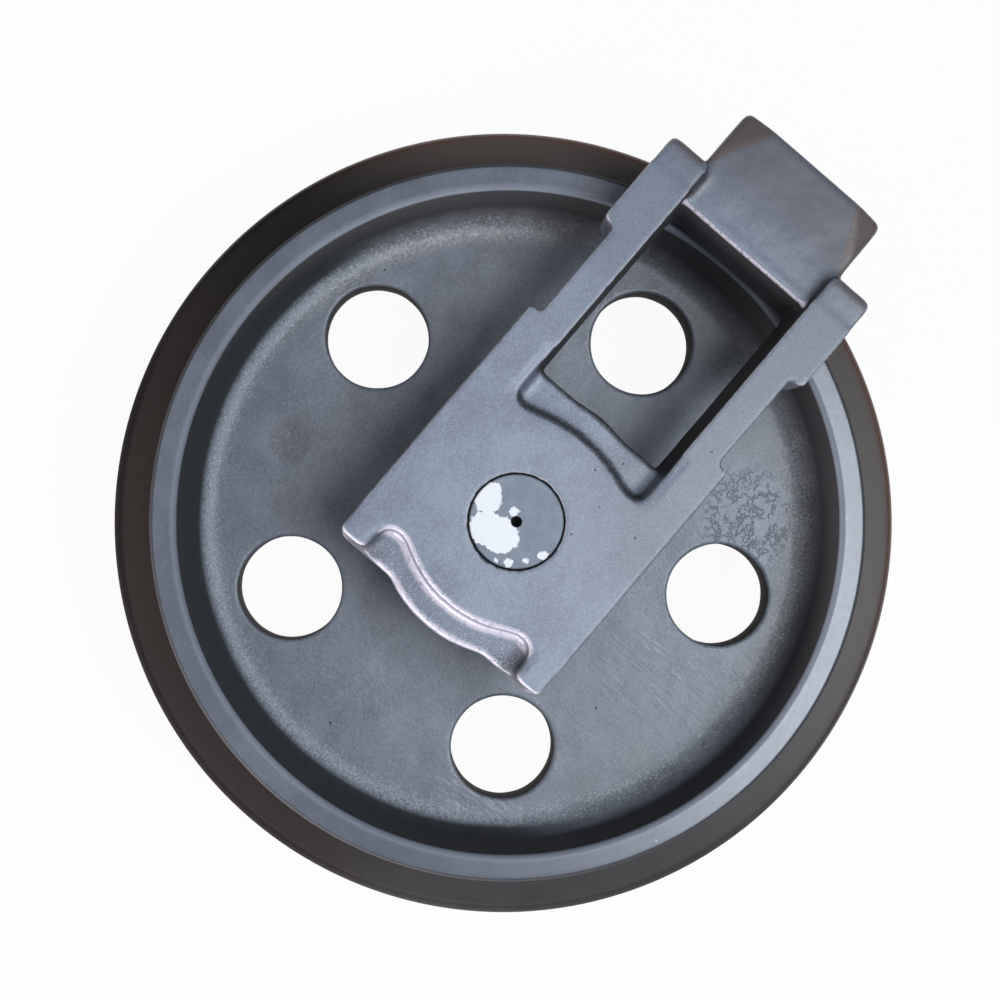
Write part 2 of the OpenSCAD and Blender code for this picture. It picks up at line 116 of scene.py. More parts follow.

# The painted shade at the end of the tail's pocket, in millimetres, and the brown corners of the tongue
SHADED_POCKET_END = (-77, 68, 0)
BROWN_START_X = 266 * MM
BROWN_SLOPE = 0.48

# Fineness of the paint's specks
SALT_SCALE = 950.0

# Filler left on the shaft's end as the camera sees it: x, y and radius of each flake in millimetres
FILLER_FLAKES = (
    (-19, 15, 9.5), (-16, 21, 6), (-20, -4, 12), (-11, -9, 12.5), (-4, -12, 6),
    (-1.5, 6.6, 3.2), (-13.5, -26, 1.6), (-5.5, -27.5, 3), (6.5, -26.5, 1.8), (18, -22.5, 3.4),
)

# The camera's place, from the picture's vanishing and outlines
VIEW_TURN = math.radians(49.5)
VIEW_TILT_X = math.radians(-0.767)
VIEW_TILT_Y = math.radians(2.933)
VIEW_SHIFT = Vector((4.133, -16.356, -1259.583)) * MM
VIEW_REACH = 50
SENSOR = 36.0
LENS = SENSOR * 1676.3 / 1000

# The floor, and the share of its own light that cameras and mirrors see
FLOOR_SIZE = 12
FLOOR_GAP = 0.2 * MM
PLAIN_WHITE = 0.95

# Lamps: name, place, target, width, height, power and colour
LAMPS = (
    ("window", (0.42, -0.86, 2.4), (0, 0, 0), 1.4, 1.4, 44, (0.86, 0.93, 1.0)),
    ("fill", (-1.04, 1.22, 1.8), (0, 0, 0), 1.4, 1.4, 6.5, (1.0, 0.92, 0.84)),
    ("tail_side", (-2.2, -0.1, 0.3), (0, 0, 0.1), 1.8, 0.45, 60, (1.0, 0.94, 0.97)),
)


# Modelling helpers

def pick(piece):
    """Makes a piece the only selected object and the active one."""
    bpy.ops.object.select_all(action="DESELECT")
    piece.select_set(True)
    bpy.context.view_layer.objects.active = piece


def edit(piece):
    """Enters edit mode on a piece, with all of it selected."""
    pick(piece)
    bpy.ops.object.mode_set(mode="EDIT")
    bpy.ops.mesh.select_mode(type="VERT")
    bpy.ops.mesh.select_all(action="SELECT")


def leave_edit():
    bpy.ops.object.mode_set(mode="OBJECT")


def select_where(piece, test):
    """Enters edit mode with the vertices selected whose place passes the test."""
    edit(piece)
    bpy.ops.mesh.select_all(action="DESELECT")
    leave_edit()
    for vertex in piece.data.vertices:
        vertex.select = test(vertex.co)
    bpy.ops.object.mode_set(mode="EDIT")


def apply_modifier(piece, kind, **settings):
    """Adds a modifier with its settings and applies it."""
    pick(piece)
    bpy.ops.object.modifier_add(type=kind)
    modifier = piece.modifiers[-1]
    for name, value in settings.items():
        setattr(modifier, name, value)
    bpy.ops.object.modifier_apply(modifier=modifier.name)


def copy_of_node(node_name, piece_name):
    """A new piece with a CAD node's shape, its loose triangles merged."""
    piece = bpy.data.objects.new(piece_name, nodes[node_name].data.copy())
    bpy.context.scene.collection.objects.link(piece)
    piece.data.materials.clear()
    edit(piece)
    bpy.ops.mesh.customdata_custom_splitnormals_clear()
    bpy.ops.mesh.remove_doubles(threshold=MERGE_GAP)
    leave_edit()
    return piece


def turned(name, profile, steps):
    """A solid of revolution about Z: a point drawn along a profile of (radius, height), then spun."""
    bpy.ops.object.select_all(action="DESELECT")
    bpy.ops.mesh.primitive_plane_add(size=MM, location=(profile[0][0], 0, profile[0][1]))
    piece = bpy.context.object
    piece.name = name
    bpy.ops.object.transform_apply(location=True)
    edit(piece)
    bpy.ops.mesh.merge(type="CENTER")
    for (r0, z0), (r1, z1) in zip(profile, profile[1:]):
        bpy.ops.mesh.extrude_region_move(TRANSFORM_OT_translate={"value": (r1 - r0, 0, z1 - z0)})
    spin_section(steps)
    leave_edit()
    return piece


def spin_section(steps):
    """Spins the section that is being edited about Z and closes the seam."""
    bpy.ops.mesh.select_all(action="SELECT")
    bpy.ops.mesh.spin(steps=steps, angle=2 * math.pi, center=(0, 0, 0), axis=(0, 0, 1))
    bpy.ops.mesh.select_all(action="SELECT")
    bpy.ops.mesh.remove_doubles(threshold=MERGE_GAP)
    bpy.ops.mesh.normals_make_consistent(inside=False)


def clouds(name, size):
    """Soft procedural noise for a Displace modifier."""
    texture = bpy.data.textures.new(name, type="CLOUDS")
    texture.noise_scale = size
    texture.noise_depth = 2
    return texture


def weigh(piece, group_name, weight):
    """A vertex group whose weight is a function of the vertex's place."""
    group = piece.vertex_groups.new(name=group_name)
    for vertex in piece.data.vertices:
        value = weight(vertex.co)
        if value > 0:
            group.add([vertex.index], value, "REPLACE")


def ease(value, low, high):
    """0 below low, 1 above high, smooth in between."""
    t = min(1.0, max(0.0, (value - low) / (high - low)))
    return t * t * (3 - 2 * t)


# Wheel

def keep_section(piece, turn):
    """Cuts a turned piece down to the outline of its section in one direction."""
    along = Vector((math.cos(turn), math.sin(turn), 0))
    across = Vector((-math.sin(turn), math.cos(turn), 0))
    edit(piece)
    bpy.ops.mesh.bisect(
        plane_co=(0, 0, 0), plane_no=across, clear_inner=True, clear_outer=True, threshold=1e-6
    )
    leave_edit()
    select_where(piece, lambda co: co.dot(along) < 0)
    bpy.ops.mesh.delete(type="VERT")
    bpy.ops.mesh.select_all(action="SELECT")
    bpy.ops.mesh.remove_doubles(threshold=MERGE_GAP)
    bpy.ops.mesh.dissolve_limited(angle_limit=math.radians(0.5))
    leave_edit()


def even_spacing(piece, spacing, inner_r):
    """Subdivides the section's long stretches outside a radius."""
    mesh = piece.data
    cuts = {}
    for edge in mesh.edges:
        a, b = (mesh.vertices[i].co for i in edge.vertices)
        if (a + b).length / 2 > inner_r and (a - b).length > spacing:
            cuts.setdefault(math.ceil((a - b).length / spacing) - 1, []).append(tuple(a + b))
    for count, middles in cuts.items():
        edit(piece)
        bpy.ops.mesh.select_mode(type="EDGE")
        bpy.ops.mesh.select_all(action="DESELECT")
        leave_edit()
        for edge in mesh.edges:
            a, b = (mesh.vertices[i].co for i in edge.vertices)
            edge.select = tuple(a + b) in middles
        bpy.ops.object.mode_set(mode="EDIT")
        bpy.ops.mesh.subdivide(number_cuts=count)
        leave_edit()


def hole_cutter():
    """Cutter for one lightening hole at the axle, with rounded lips at both faces of the web."""
    past = WEB_Z + CUTTER_PAST
    lip = [
        (HOLE_R + HOLE_LIP * (1 - math.sin(t)), WEB_Z - HOLE_LIP * (1 - math.cos(t)))
        for t in (math.radians(90 * i / 4) for i in range(5))
    ]
    half = [(0, past), (HOLE_R + HOLE_LIP, past)] + lip
    return turned("hole_cutter", half + [(r, -z) for r, z in reversed(half)], HOLE_STEPS)


def cut_holes(piece):
    """Cuts the web's lightening holes."""
    first_hole = (HOLE_PITCH_R * math.cos(HOLE_TURN), HOLE_PITCH_R * math.sin(HOLE_TURN), 0)
    cutter = hole_cutter()
    edit(cutter)
    bpy.ops.transform.translate(value=first_hole)
    for _ in range(HOLE_N - 1):
        bpy.ops.mesh.duplicate()
        bpy.ops.transform.rotate(value=-2 * math.pi / HOLE_N, orient_axis="Z", center_override=(0, 0, 0))
    leave_edit()
    apply_modifier(piece, "BOOLEAN", object=cutter, operation="DIFFERENCE", solver="EXACT")
    bpy.data.objects.remove(cutter)


def web_weight(co):
    """1 on the flat web and 0 on what is machined."""
    r = math.hypot(co.x, co.y)
    outside_hub = ease(r, HUB_R, HUB_R + WEB_FILLET)
    inside_rim = 1 - ease(r, RIM_IN_R - 12 * MM, RIM_IN_R)
    low = 1 - ease(abs(co.z), 1.6 * WEB_Z, 3.2 * WEB_Z)
    return outside_hub * inside_rim * low


def press_dimple(piece, place, radius, depth):
    """Presses a shallow round mark into the upper face of the web."""
    nearest = min(piece.data.vertices, key=lambda v: (v.co - place).length).index
    select_where(piece, lambda co: False)
    leave_edit()
    piece.data.vertices[nearest].select = True
    bpy.ops.object.mode_set(mode="EDIT")
    bpy.ops.transform.translate(
        value=(0, 0, -depth), use_proportional_edit=True, use_proportional_connected=True,
        proportional_edit_falloff="SMOOTH", proportional_size=radius,
    )
    leave_edit()


def cast_wheel():
    """The wheel's section spun again with an even mesh, with its round mark, its holes and a wavy web."""
    piece = copy_of_node("idler_wheel", "cast_wheel")
    keep_section(piece, HOLE_TURN - math.pi / HOLE_N)
    even_spacing(piece, WHEEL_SPACING, HUB_R * 0.8)
    edit(piece)
    spin_section(WHEEL_STEPS)
    leave_edit()
    press_dimple(piece, Vector(ROUND_MARK) * MM, ROUND_MARK_R, ROUND_MARK_DEPTH)
    cut_holes(piece)
    weigh(piece, "as_cast", web_weight)
    apply_modifier(
        piece, "DISPLACE", texture=clouds("web_waves", WEB_WAVE), texture_coords="LOCAL",
        strength=WEB_WAVE_DEPTH, mid_level=0.5, vertex_group="as_cast",
    )
    pick(piece)
    bpy.ops.object.shade_smooth_by_angle(angle=math.radians(35))
    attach(piece, "wheel")
    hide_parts("idler_wheel")


# Brackets

def fork_weight(co, start, width, end):
    """1 on the block's end inside the fork; each limit is a pair in millimetres that it eases between."""
    past_start = ease(co.x, start[0] * MM, start[1] * MM)
    between_arms = 1 - ease(abs(co.y), width[0] * MM, width[1] * MM)
    return past_start * between_arms * (1 - ease(co.x, end[0] * MM, end[1] * MM))


def as_cast_weight(co):
    """Strength of the casting's soft rounding: ledges, tongue and lower part, not the machined faces."""
    tail = 1 - ease(co.x, -66 * MM, -52 * MM)
    nose = fork_weight(co, (58, 68), (60, 64), (104, 110))
    tongue = ease(co.x, TONGUE_X + 3 * MM, TONGUE_X + 10 * MM)
    foot = 1 - ease(abs(co.z), LEDGE_Z - 20 * MM, LEDGE_Z - 8 * MM)
    return max(tail, nose, tongue, foot)


def pocket_weight(co):
    """1 on the tail's pocket and less on the fork's, whose walls are drawn out softly."""
    above = ease(abs(co.z), LEDGE_Z - 14 * MM, LEDGE_Z - 4 * MM)
    between_sides = 1 - ease(abs(co.y), 66 * MM, 74 * MM)
    tail = 1 - ease(co.x, -56 * MM, -40 * MM)
    nose = fork_weight(co, (50, 64), (54, 60), (92, 98))
    return above * between_sides * max(tail, 0.6 * nose)


def cast_bracket(node_name, piece_name):
    """A copy of a bracket with softened cast edges and slightly wavy cast surfaces."""
    piece = copy_of_node(node_name, piece_name)
    apply_modifier(piece, "REMESH", mode="VOXEL", voxel_size=CASTING_VOXEL)
    weigh(piece, "as_cast", as_cast_weight)
    apply_modifier(piece, "SMOOTH", factor=0.5, iterations=SMOOTH_ALL)
    apply_modifier(piece, "SMOOTH", factor=0.5, iterations=SMOOTH_CAST, vertex_group="as_cast")
    weigh(piece, "pocket", pocket_weight)
    apply_modifier(piece, "SMOOTH", factor=0.5, iterations=SMOOTH_POCKET, vertex_group="pocket")
    apply_modifier(
        piece, "DISPLACE", texture=clouds(piece_name + "_waves", CASTING_WAVE), texture_coords="LOCAL",
        strength=CASTING_WAVE_DEPTH, mid_level=1.0, vertex_group="as_cast",
    )
    pick(piece)
    bpy.ops.object.shade_smooth()
    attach(piece, "carrier")
    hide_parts(node_name)


# Shader helpers

def paint(red, green, blue):
    """A colour as a screen shows it, 0 to 255, in linear light."""
    shares = [value / 255 for value in (red, green, blue)]
    return (*[v / 12.92 if v <= 0.04045 else ((v + 0.055) / 1.055) ** 2.4 for v in shares], 1.0)


def feed(tree, socket, value):
    """Sets a socket, or links it to the socket that feeds it."""
    if isinstance(value, bpy.types.NodeSocket):
        tree.links.new(value, socket)
    else:
        socket.default_value = value


def add(tree, kind, inputs=None, **settings):
    """A shader node with its settings and its inputs by name."""
    made = tree.nodes.new("ShaderNode" + kind)
    for name, value in settings.items():
        setattr(made, name, value)
    for name, value in (inputs or {}).items():
        feed(tree, made.inputs[name], value)
    return made


def maths(tree, operation, a, b=0.0):
    made = add(tree, "Math", operation=operation)
    feed(tree, made.inputs[0], a)
    feed(tree, made.inputs[1], b)
    return made.outputs[0]


def times(tree, first, *others):
    """Product of several masks."""
    for other in others:
        first = maths(tree, "MULTIPLY", first, other)
    return first


def total(tree, first, *others):
    for other in others:
        first = maths(tree, "ADD", first, other)
    return first


def largest(tree, first, *others):
    for other in others:
        first = maths(tree, "MAXIMUM", first, other)
    return first


def fade(tree, value, low, high):
    """0 at low, 1 at high, smooth in between; low may be the larger."""
    limits = {"Value": value, "From Min": low, "From Max": high}
    return add(tree, "MapRange", limits, interpolation_type="SMOOTHSTEP").outputs["Result"]


def without(tree, mask, share=1.0):
    """1 where a mask is 0; where it is 1, less by the share."""
    return fade(tree, times(tree, mask, share), 1.0, 0.0)


def blend(tree, share, a, b):
    """Colour a, with colour b where the share is 1."""
    made = add(tree, "Mix", data_type="RGBA")
    feed(tree, made.inputs[0], share)
    feed(tree, made.inputs[6], a)
    feed(tree, made.inputs[7], b)
    return made.outputs[2]


def noise(tree, place, scale, detail=3.0, roughness=0.6):
    inputs = {"Vector": place, "Scale": scale, "Detail": detail, "Roughness": roughness}
    return add(tree, "TexNoise", inputs).outputs["Fac"]


def radius_of(tree, place):
    """Distance from the axle."""
    flat = add(tree, "VectorMath", {0: place, 1: (1, 1, 0)}, operation="MULTIPLY").outputs["Vector"]
    return add(tree, "VectorMath", {0: flat}, operation="LENGTH").outputs["Value"]


def shader_group(name, inputs, outputs):
    """An empty node group; returns it with its inner ends."""
    tree = bpy.data.node_groups.new(name, "ShaderNodeTree")
    for socket, kind in inputs:
        tree.interface.new_socket(socket, in_out="INPUT", socket_type="NodeSocket" + kind)
    for socket, kind in outputs:
        tree.interface.new_socket(socket, in_out="OUTPUT", socket_type="NodeSocket" + kind)
    return tree, tree.nodes.new("NodeGroupInput").outputs, tree.nodes.new("NodeGroupOutput").inputs


def use(tree, group_tree, inputs):
    """Places a node group and returns its outputs."""
    made = tree.nodes.new("ShaderNodeGroup")
    made.node_tree = group_tree
    for name, value in inputs.items():
        feed(tree, made.inputs[name], value)
    return made.outputs


# Shared effects

def cast_grain_group():
    """Grain of a sand-cast skin: its height, its open pits and its glints."""
    tree, given, out = shader_group(
        "cast_grain",
        [("Vector", "Vector"), ("Grain", "Float"), ("Pit Share", "Float")],
        [("Height", "Float"), ("Pits", "Float"), ("Glints", "Float")],
    )
    fine = noise(tree, given["Vector"], given["Grain"], 2.0, 0.7)
    coarse = noise(tree, given["Vector"], times(tree, given["Grain"], 0.3), 3.0, 0.6)
    cell_scale = times(tree, given["Grain"], 0.16)
    cells = add(tree, "TexVoronoi", {"Vector": given["Vector"], "Scale": cell_scale}).outputs
    chance = add(tree, "SeparateColor", {"Color": cells["Color"]}).outputs["Red"]
    pit_here = maths(tree, "LESS_THAN", chance, given["Pit Share"])
    pits = times(tree, fade(tree, cells["Distance"], 0.15, 0.06), pit_here)
    tree.links.new(pits, out["Pits"])
    skin = total(tree, times(tree, fine, 0.5), times(tree, coarse, 0.5))
    tree.links.new(maths(tree, "SUBTRACT", skin, pits), out["Height"])
    tree.links.new(fade(tree, fine, 0.56, 0.72), out["Glints"])
    return tree


def cloudy_tone_group():
    """Colour that drifts between a dark and a light tone in soft clouds and small flecks."""
    tree, given, out = shader_group(
        "cloudy_tone",
        [("Vector", "Vector"), ("Scale", "Float"), ("Dark", "Color"), ("Light", "Color")],
        [("Color", "Color")],
    )
    wide = noise(tree, given["Vector"], given["Scale"], 4.0, 0.6)
    fleck = noise(tree, given["Vector"], times(tree, given["Scale"], 14.0), 2.0, 0.7)
    share = total(tree, times(tree, wide, 0.65), times(tree, fleck, 0.35))
    tree.links.new(blend(tree, fade(tree, share, 0.36, 0.64), given["Dark"], given["Light"]), out["Color"])
    return tree


def edge_wear_and_glint_group():
    """Convex edges that are worn bright and also carry painted glints, broken up by noise."""
    tree, given, out = shader_group(
        "edge_wear_and_glint",
        [("Vector", "Vector"), ("Start", "Float"), ("Full", "Float"), ("Scale", "Float")],
        [("Wear And Glint", "Float")],
    )
    sharpness = add(tree, "NewGeometry").outputs["Pointiness"]
    broken = fade(tree, noise(tree, given["Vector"], given["Scale"], 4.0, 0.7), 0.3, 0.6)
    tree.links.new(times(tree, fade(tree, sharpness, given["Start"], given["Full"]), broken), out["Wear And Glint"])
    return tree


def dust_group():
    """Dust that lies in clumps and single grains where a mask lets it."""
    tree, given, out = shader_group(
        "dust",
        [("Vector", "Vector"), ("Where", "Float"), ("Scale", "Float")],
        [("Dust", "Float")],
    )
    clumps = fade(tree, noise(tree, given["Vector"], given["Scale"], 5.0, 0.75), 0.46, 0.68)
    grains = noise(tree, given["Vector"], times(tree, given["Scale"], 5.0), 2.0, 0.8)
    lying = total(tree, times(tree, clumps, 0.55), times(tree, fade(tree, grains, 0.52, 0.72), 0.7))
    tree.links.new(times(tree, lying, given["Where"]), out["Dust"])
    return tree


def turning_group():
    """Fine rings left by a lathe, round the axle."""
    tree, given, out = shader_group(
        "turning_marks", [("Vector", "Vector"), ("Pitch", "Float")], [("Height", "Float")]
    )
    depth = add(tree, "SeparateXYZ", {"Vector": given["Vector"]}).outputs["Z"]
    path = total(tree, radius_of(tree, given["Vector"]), depth)
    travel = add(tree, "CombineXYZ", {"X": maths(tree, "DIVIDE", path, given["Pitch"])}).outputs["Vector"]
    tree.links.new(noise(tree, travel, 1.0, 2.0), out["Height"])
    return tree


CAST_GRAIN = cast_grain_group()
CLOUDY_TONE = cloudy_tone_group()
EDGE_WEAR_AND_GLINT = edge_wear_and_glint_group()
DUST = dust_group()
TURNING = turning_group()


# Materials

def new_material(name):
    """A material with an empty Principled shader: itself, its tree, its shader and its coordinates."""
    made = bpy.data.materials.new(name)
    made.use_nodes = True
    tree = made.node_tree
    return made, tree, tree.nodes["Principled BSDF"].inputs, add(tree, "TexCoord").outputs


def bump(tree, height, depth):
    return add(tree, "Bump", {"Height": height, "Distance": depth}).outputs["Normal"]


def towards(tree, place, direction, radius):
    """How far a place lies towards a direction from the axle, from -1 to 1."""
    reach = add(tree, "VectorMath", {0: place, 1: direction}, operation="DOT_PRODUCT").outputs["Value"]
    return maths(tree, "DIVIDE", reach, radius)


def near(tree, place, centre, inner, outer):
    """1 within the inner distance of a place, 0 past the outer one, in millimetres."""
    spot = [value * MM for value in centre]
    gap = add(tree, "VectorMath", {0: place, 1: spot}, operation="DISTANCE").outputs["Value"]
    return fade(tree, gap, outer * MM, inner * MM)


def cloudy(tree, place, scale, dark, light):
    inputs = {"Vector": place, "Scale": scale, "Dark": paint(*dark), "Light": paint(*light)}
    return use(tree, CLOUDY_TONE, inputs)["Color"]


def salt_and_pepper(tree, place):
    """Light and dark specks of one fine grain."""
    salt = noise(tree, place, SALT_SCALE, 2.0, 0.6)
    return fade(tree, salt, 0.52, 0.72), fade(tree, salt, 0.48, 0.28)


def coat(tree, colour, *layers):
    """A colour with layers over it, each a tone and the masks and shares that say where it lies."""
    for tone, *masks in layers:
        colour = blend(tree, times(tree, *masks), colour, paint(*tone))
    return colour


def wheel_zones(tree, place):
    """The wheel's surfaces as masks, with the measures that tell them apart."""
    axes = add(tree, "SeparateXYZ", {"Vector": place}).outputs
    height = maths(tree, "ABSOLUTE", axes["Z"])
    radius = radius_of(tree, place)
    along = maths(tree, "DIVIDE", axes["X"], radius)
    across = towards(tree, place, SHADY_SIDE, radius)
    shady = times(tree, fade(tree, across, -0.35, 0.05), fade(tree, along, 0.5, 0.2))

    flange = fade(tree, radius, TREAD_R + 0.5 * MM, TREAD_R + 2 * MM)
    off_flange = without(tree, flange)
    face = times(tree, fade(tree, height, RIM_Z - 4 * MM, RIM_Z - 1 * MM), off_flange)
    low_wall = times(tree, fade(tree, height, WEB_Z + 1.5 * MM, WEB_Z + 7 * MM), shady)
    high_wall = fade(tree, height, WEB_Z + 8 * MM, WEB_Z + 26 * MM)
    wall = times(
        tree, largest(tree, low_wall, high_wall), without(tree, face),
        fade(tree, radius, 200 * MM, 212 * MM), off_flange,
    )
    hole_wall = times(
        tree, fade(tree, height, WEB_Z - 0.5 * MM, WEB_Z - 2.5 * MM), fade(tree, radius, 214 * MM, 208 * MM)
    )
    # Painted shade: a dark line along the rim face's outer chamfer.
    shaded_edge_line = times(
        tree, fade(tree, radius, TREAD_R - 3.4 * MM, TREAD_R - 2.2 * MM),
        fade(tree, radius, TREAD_R + 1.4 * MM, TREAD_R + 0.6 * MM),
    )
    return SimpleNamespace(
        height=height, radius=radius, along=along, across=across, shady=shady, flange=flange, face=face,
        wall=wall, hole_wall=hole_wall, shaded_edge_line=shaded_edge_line,
    )


def lying_dirt_and_shading(tree, place, zone, glints):
    """Soil, grime and dust on the web, with painted sheen in the soil, painted shade in the grime and a
    painted shadow of the fork in the oil: where each of them lies.
    """
    tail_side = fade(tree, zone.along, 0.35, -0.25)
    fork_side = without(tree, tail_side)
    beside_fork = fade(tree, zone.along, 0.93, 0.8)
    ragged = maths(tree, "SUBTRACT", noise(tree, place, 60.0, 4.0, 0.7), 0.5)
    ragged_r = total(tree, zone.radius, times(tree, ragged, 16 * MM))
    grains = fade(tree, noise(tree, place, 420.0, 3.0, 0.8), 0.4, 0.62)
    # Pale soil on the fork side's fillet, which is also a painted sheen there.
    soil_and_sheen = times(tree, fade(tree, ragged_r, 203 * MM, 214 * MM), fork_side, grains, beside_fork)
    # Dark grime and painted shade in the corner at the foot of the rim's wall on the fork side.
    grime_and_shade = times(tree, fade(tree, ragged_r, 216 * MM, 234 * MM), fork_side)
    # Oily grime and a painted shadow of the fork on the web under it.
    oil_and_fork_shadow = times(tree, fade(tree, zone.along, 0.82, 0.97), fade(tree, ragged_r, 165 * MM, 215 * MM))

    fillet = times(
        tree, fade(tree, zone.radius, 198 * MM, 218 * MM),
        fade(tree, zone.height, WEB_Z + 12 * MM, WEB_Z + 4 * MM),
    )
    foot = times(
        tree, fade(tree, zone.radius, 213 * MM, 219 * MM),
        fade(tree, zone.height, WEB_Z + 8 * MM, WEB_Z + 3 * MM),
    )
    in_fillet = times(tree, fillet, tail_side, 0.6)
    fillet_dust = use(tree, DUST, {"Vector": place, "Scale": 150.0, "Where": in_fillet})["Dust"]
    thin_dust = use(tree, DUST, {"Vector": place, "Scale": 70.0, "Where": 0.16})["Dust"]
    drift = times(tree, foot, zone.shady, grains, 0.9)
    in_mark = times(tree, near(tree, place, ROUND_MARK, 8, 24), glints, 0.5)
    bright_grains = times(
        tree, fade(tree, noise(tree, place, 620.0, 2.0, 0.6), 0.56, 0.64),
        fade(tree, zone.radius, 203 * MM, 217 * MM),
        fade(tree, zone.height, WEB_Z + 9 * MM, WEB_Z + 4 * MM), beside_fork,
    )
    return SimpleNamespace(
        soil_and_sheen=soil_and_sheen, grime_and_shade=grime_and_shade, oil_and_fork_shadow=oil_and_fork_shadow, fillet_dust=fillet_dust, bright_grains=bright_grains,
        dust=total(tree, fillet_dust, thin_dust, drift, in_mark),
    )


def forging_marks(tree, place, zone):
    """Drawn streaks, crack-like laps and chatter that the forging left on the web."""
    on_web = fade(tree, zone.radius, 218 * MM, 208 * MM)
    stretch = {"Vector": place, "Rotation": (0, 0, -FORGING_TURN), "Scale": (5, 1, 1)}
    streaks = add(tree, "Mapping", stretch).outputs["Vector"]
    drawn = times(
        tree, fade(tree, noise(tree, streaks, 40.0, 4.0, 0.75), 0.46, 0.68),
        near(tree, place, FORGING_MARKS, 60, 110), on_web,
    )
    crack = maths(tree, "ABSOLUTE", maths(tree, "SUBTRACT", noise(tree, place, 130.0, 3.0, 0.6), 0.5))
    laps = times(
        tree, fade(tree, crack, 0.055, 0.0), near(tree, place, FORGING_LAPS, 24, 48), on_web,
        fade(tree, noise(tree, place, 70.0, 2.0), 0.36, 0.54),
    )
    chatter = times(
        tree, fade(tree, noise(tree, streaks, 75.0, 2.0, 0.5), 0.5, 0.64),
        near(tree, place, CHATTER_MARKS, 14, 42),
    )
    lapped = times(tree, near(tree, place, FORGING_LAPS, 20, 50), on_web)
    return SimpleNamespace(drawn=drawn, laps=laps, chatter=chatter, lapped=lapped)


def web_colour(tree, place, zone, dirt_and_shading, marks, grain):
    light_specks, dark_specks = salt_and_pepper(tree, place)
    return coat(
        tree, cloudy(tree, place, 26.0, (96, 101, 111), (116, 122, 133)),
        # Pale soil and painted sheen on the fork side's fillet.
        ((156, 151, 148), dirt_and_shading.soil_and_sheen, 0.8),
        # Grime and painted shade at the foot of the rim's wall.
        ((52, 51, 53), dirt_and_shading.grime_and_shade, 0.85),
        # Oily grime and a painted shadow of the fork.
        ((50, 48, 50), dirt_and_shading.oil_and_fork_shadow, 0.75),
        ((168, 177, 192), marks.drawn, 0.32),
        ((72, 72, 78), near(tree, place, ROUND_MARK, 13, 19), 0.45),
        ((150, 160, 170), marks.lapped, 0.3),
        ((54, 57, 61), marks.laps, 0.6),
        ((176, 186, 194), marks.chatter, 0.4),
        ((150, 158, 170), grain["Glints"], 0.25),
        ((154, 164, 172), dirt_and_shading.dust),
        ((196, 204, 208), dirt_and_shading.bright_grains, 0.5),
        ((168, 176, 186), light_specks, 0.3),
        ((60, 63, 68), dark_specks, 0.3),
        ((40, 40, 44), grain["Pits"], 0.8),
        ((38, 30, 26), zone.hole_wall),
        ((40, 42, 45), zone.wall),
    )


def rim_colour(tree, place, zone):
    """Slate paint, with painted shade on one side and a painted shadow under the fork."""
    # Painted shade: the rim face darker on one side.
    shaded_side = fade(tree, towards(tree, place, SHADED_RIM_SIDE, zone.radius), 0.7, 0.95)
    return coat(
        tree, cloudy(tree, place, 30.0, (92, 97, 108), (106, 112, 124)),
        ((74, 81, 94), shaded_side, 0.55),
        # Painted shadow of the tongue on the rim face under the fork.
        ((52, 54, 60), fade(tree, zone.along, 0.95, 0.98), 0.7),
    )


def flange_colour(tree, place, zone, slope, bare_scale):
    """Mill scale that rusts towards the fork; the outer face stays dark."""
    scale = cloudy(tree, place, 34.0, (25, 23, 23), (38, 35, 34))
    rust_edge = times(
        tree, fade(tree, zone.radius, FLANGE_R - 10 * MM, FLANGE_R - 1 * MM),
        fade(tree, zone.along, 0.2, 0.7), slope,
    )
    colour = coat(
        tree, scale,
        ((76, 62, 54), fade(tree, zone.along, -0.6, 0.6), 0.8),
        ((64, 59, 57), bare_scale),
        ((104, 66, 52), rust_edge, 0.6),
    )
    outer_face = times(
        tree, fade(tree, zone.radius, FLANGE_R - 6 * MM, FLANGE_R - 1 * MM), without(tree, slope), 0.8
    )
    return blend(tree, outer_face, colour, scale)


